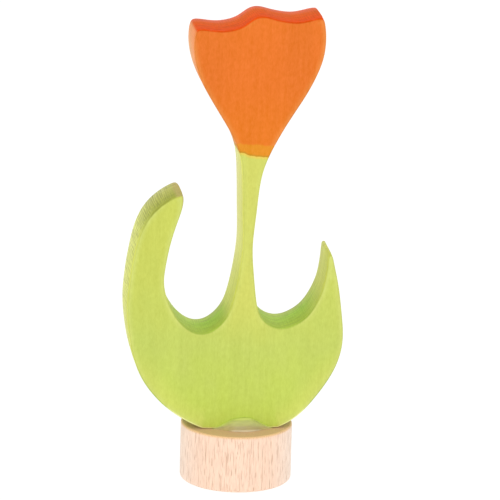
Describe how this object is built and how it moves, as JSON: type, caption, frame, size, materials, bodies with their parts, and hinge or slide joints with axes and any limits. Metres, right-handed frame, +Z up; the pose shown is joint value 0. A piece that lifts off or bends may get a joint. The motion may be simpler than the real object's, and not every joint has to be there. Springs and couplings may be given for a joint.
{
  "type": "wooden tulip ornament on a round plug",
  "caption": "Flat sawn wooden tulip with two curled leaves, dip-dyed, glued upright on a round beech plug that drops into a ring hole.",
  "frame": {"origin": "centre of the plug's round underside, the face that the ornament stands on", "axes": "+Z up along the plug and the stem, the broad front face looks along -Y, +X to the right as seen from the front"},
  "size_m": [0.0388, 0.02, 0.0857],
  "materials": {
    "dyed_limewood": "limewood dip-dyed in thin water colour, yellow-green from the foot to the top of the stem and orange on the flower, sawn edges left with fine saw marks, matt",
    "plain_beech": "plain sanded beech with short dark flecks up the side and end grain on top and below",
    "dowel_beech": "plain beech, fluted",
    "clear_glue": "clear set glue, glossy"
  },
  "bodies": {
    "root": {"tulip_figure": "dyed_limewood", "base_plug": "plain_beech", "dowel_pin": "dowel_beech", "glue_joint": "clear_glue"}
  },
  "joints": []
}
